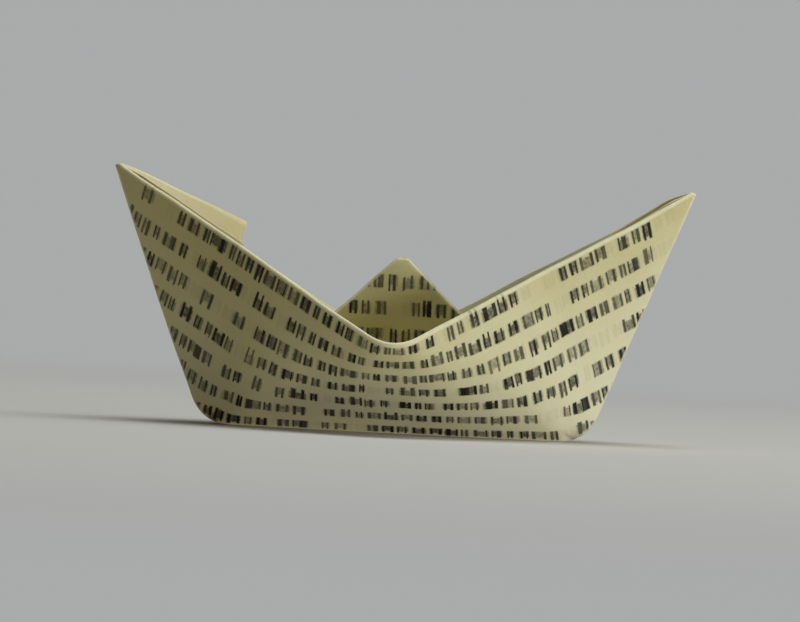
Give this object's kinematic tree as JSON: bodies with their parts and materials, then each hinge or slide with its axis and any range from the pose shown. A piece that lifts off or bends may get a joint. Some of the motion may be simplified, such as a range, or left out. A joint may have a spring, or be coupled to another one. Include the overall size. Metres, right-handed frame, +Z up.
{
  "type": "folded paper boat",
  "caption": "Toy boat folded from an aged book page, with raised bows, a hollow pointed mast between the sides, and hems turned in along the gunwales.",
  "frame": {"origin": "on the ground below the mast, halfway between the bows", "axes": "+X from bow to bow, with the sprung inner flap at the -X bow, +Y from the near side to the far side that carries the pressed layers, +Z up"},
  "size_m": [0.0778, 0.0528, 0.0341],
  "materials": {
    "paper": "matt aged uncoated book paper with dark print rows"
  },
  "bodies": {
    "root": {"folded_sheet": "paper"}
  },
  "joints": []
}
